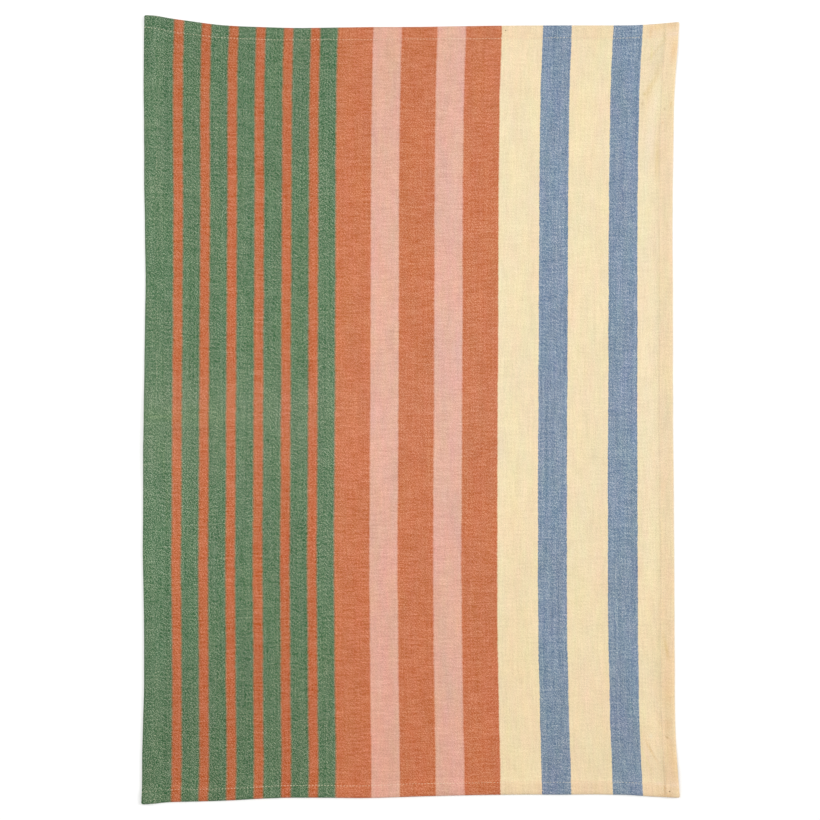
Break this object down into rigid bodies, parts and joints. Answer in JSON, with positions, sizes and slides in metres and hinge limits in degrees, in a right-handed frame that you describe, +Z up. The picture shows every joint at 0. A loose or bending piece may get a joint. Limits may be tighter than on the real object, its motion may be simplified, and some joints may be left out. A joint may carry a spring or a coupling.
{
  "type": "tea towel",
  "caption": "Rectangular woven cotton tea towel with lengthwise bar stripes and narrow turned hems, lying open and flat, its corners pulled slightly outwards.",
  "frame": {"origin": "middle of the towel's footprint, on the surface it lies on", "axes": "+X across the towel towards its cream side, +Y along the stripes towards the picture's upper end, +Z up off the surface"},
  "size_m": [0.4892, 0.7166, 0.0049],
  "materials": {
    "woven_cotton": "matt plain-woven cotton, yarn-dyed in lengthwise bars of green, terracotta, pink, cream and blue"
  },
  "bodies": {
    "root": {"towel_cloth": "woven_cotton"}
  },
  "joints": []
}
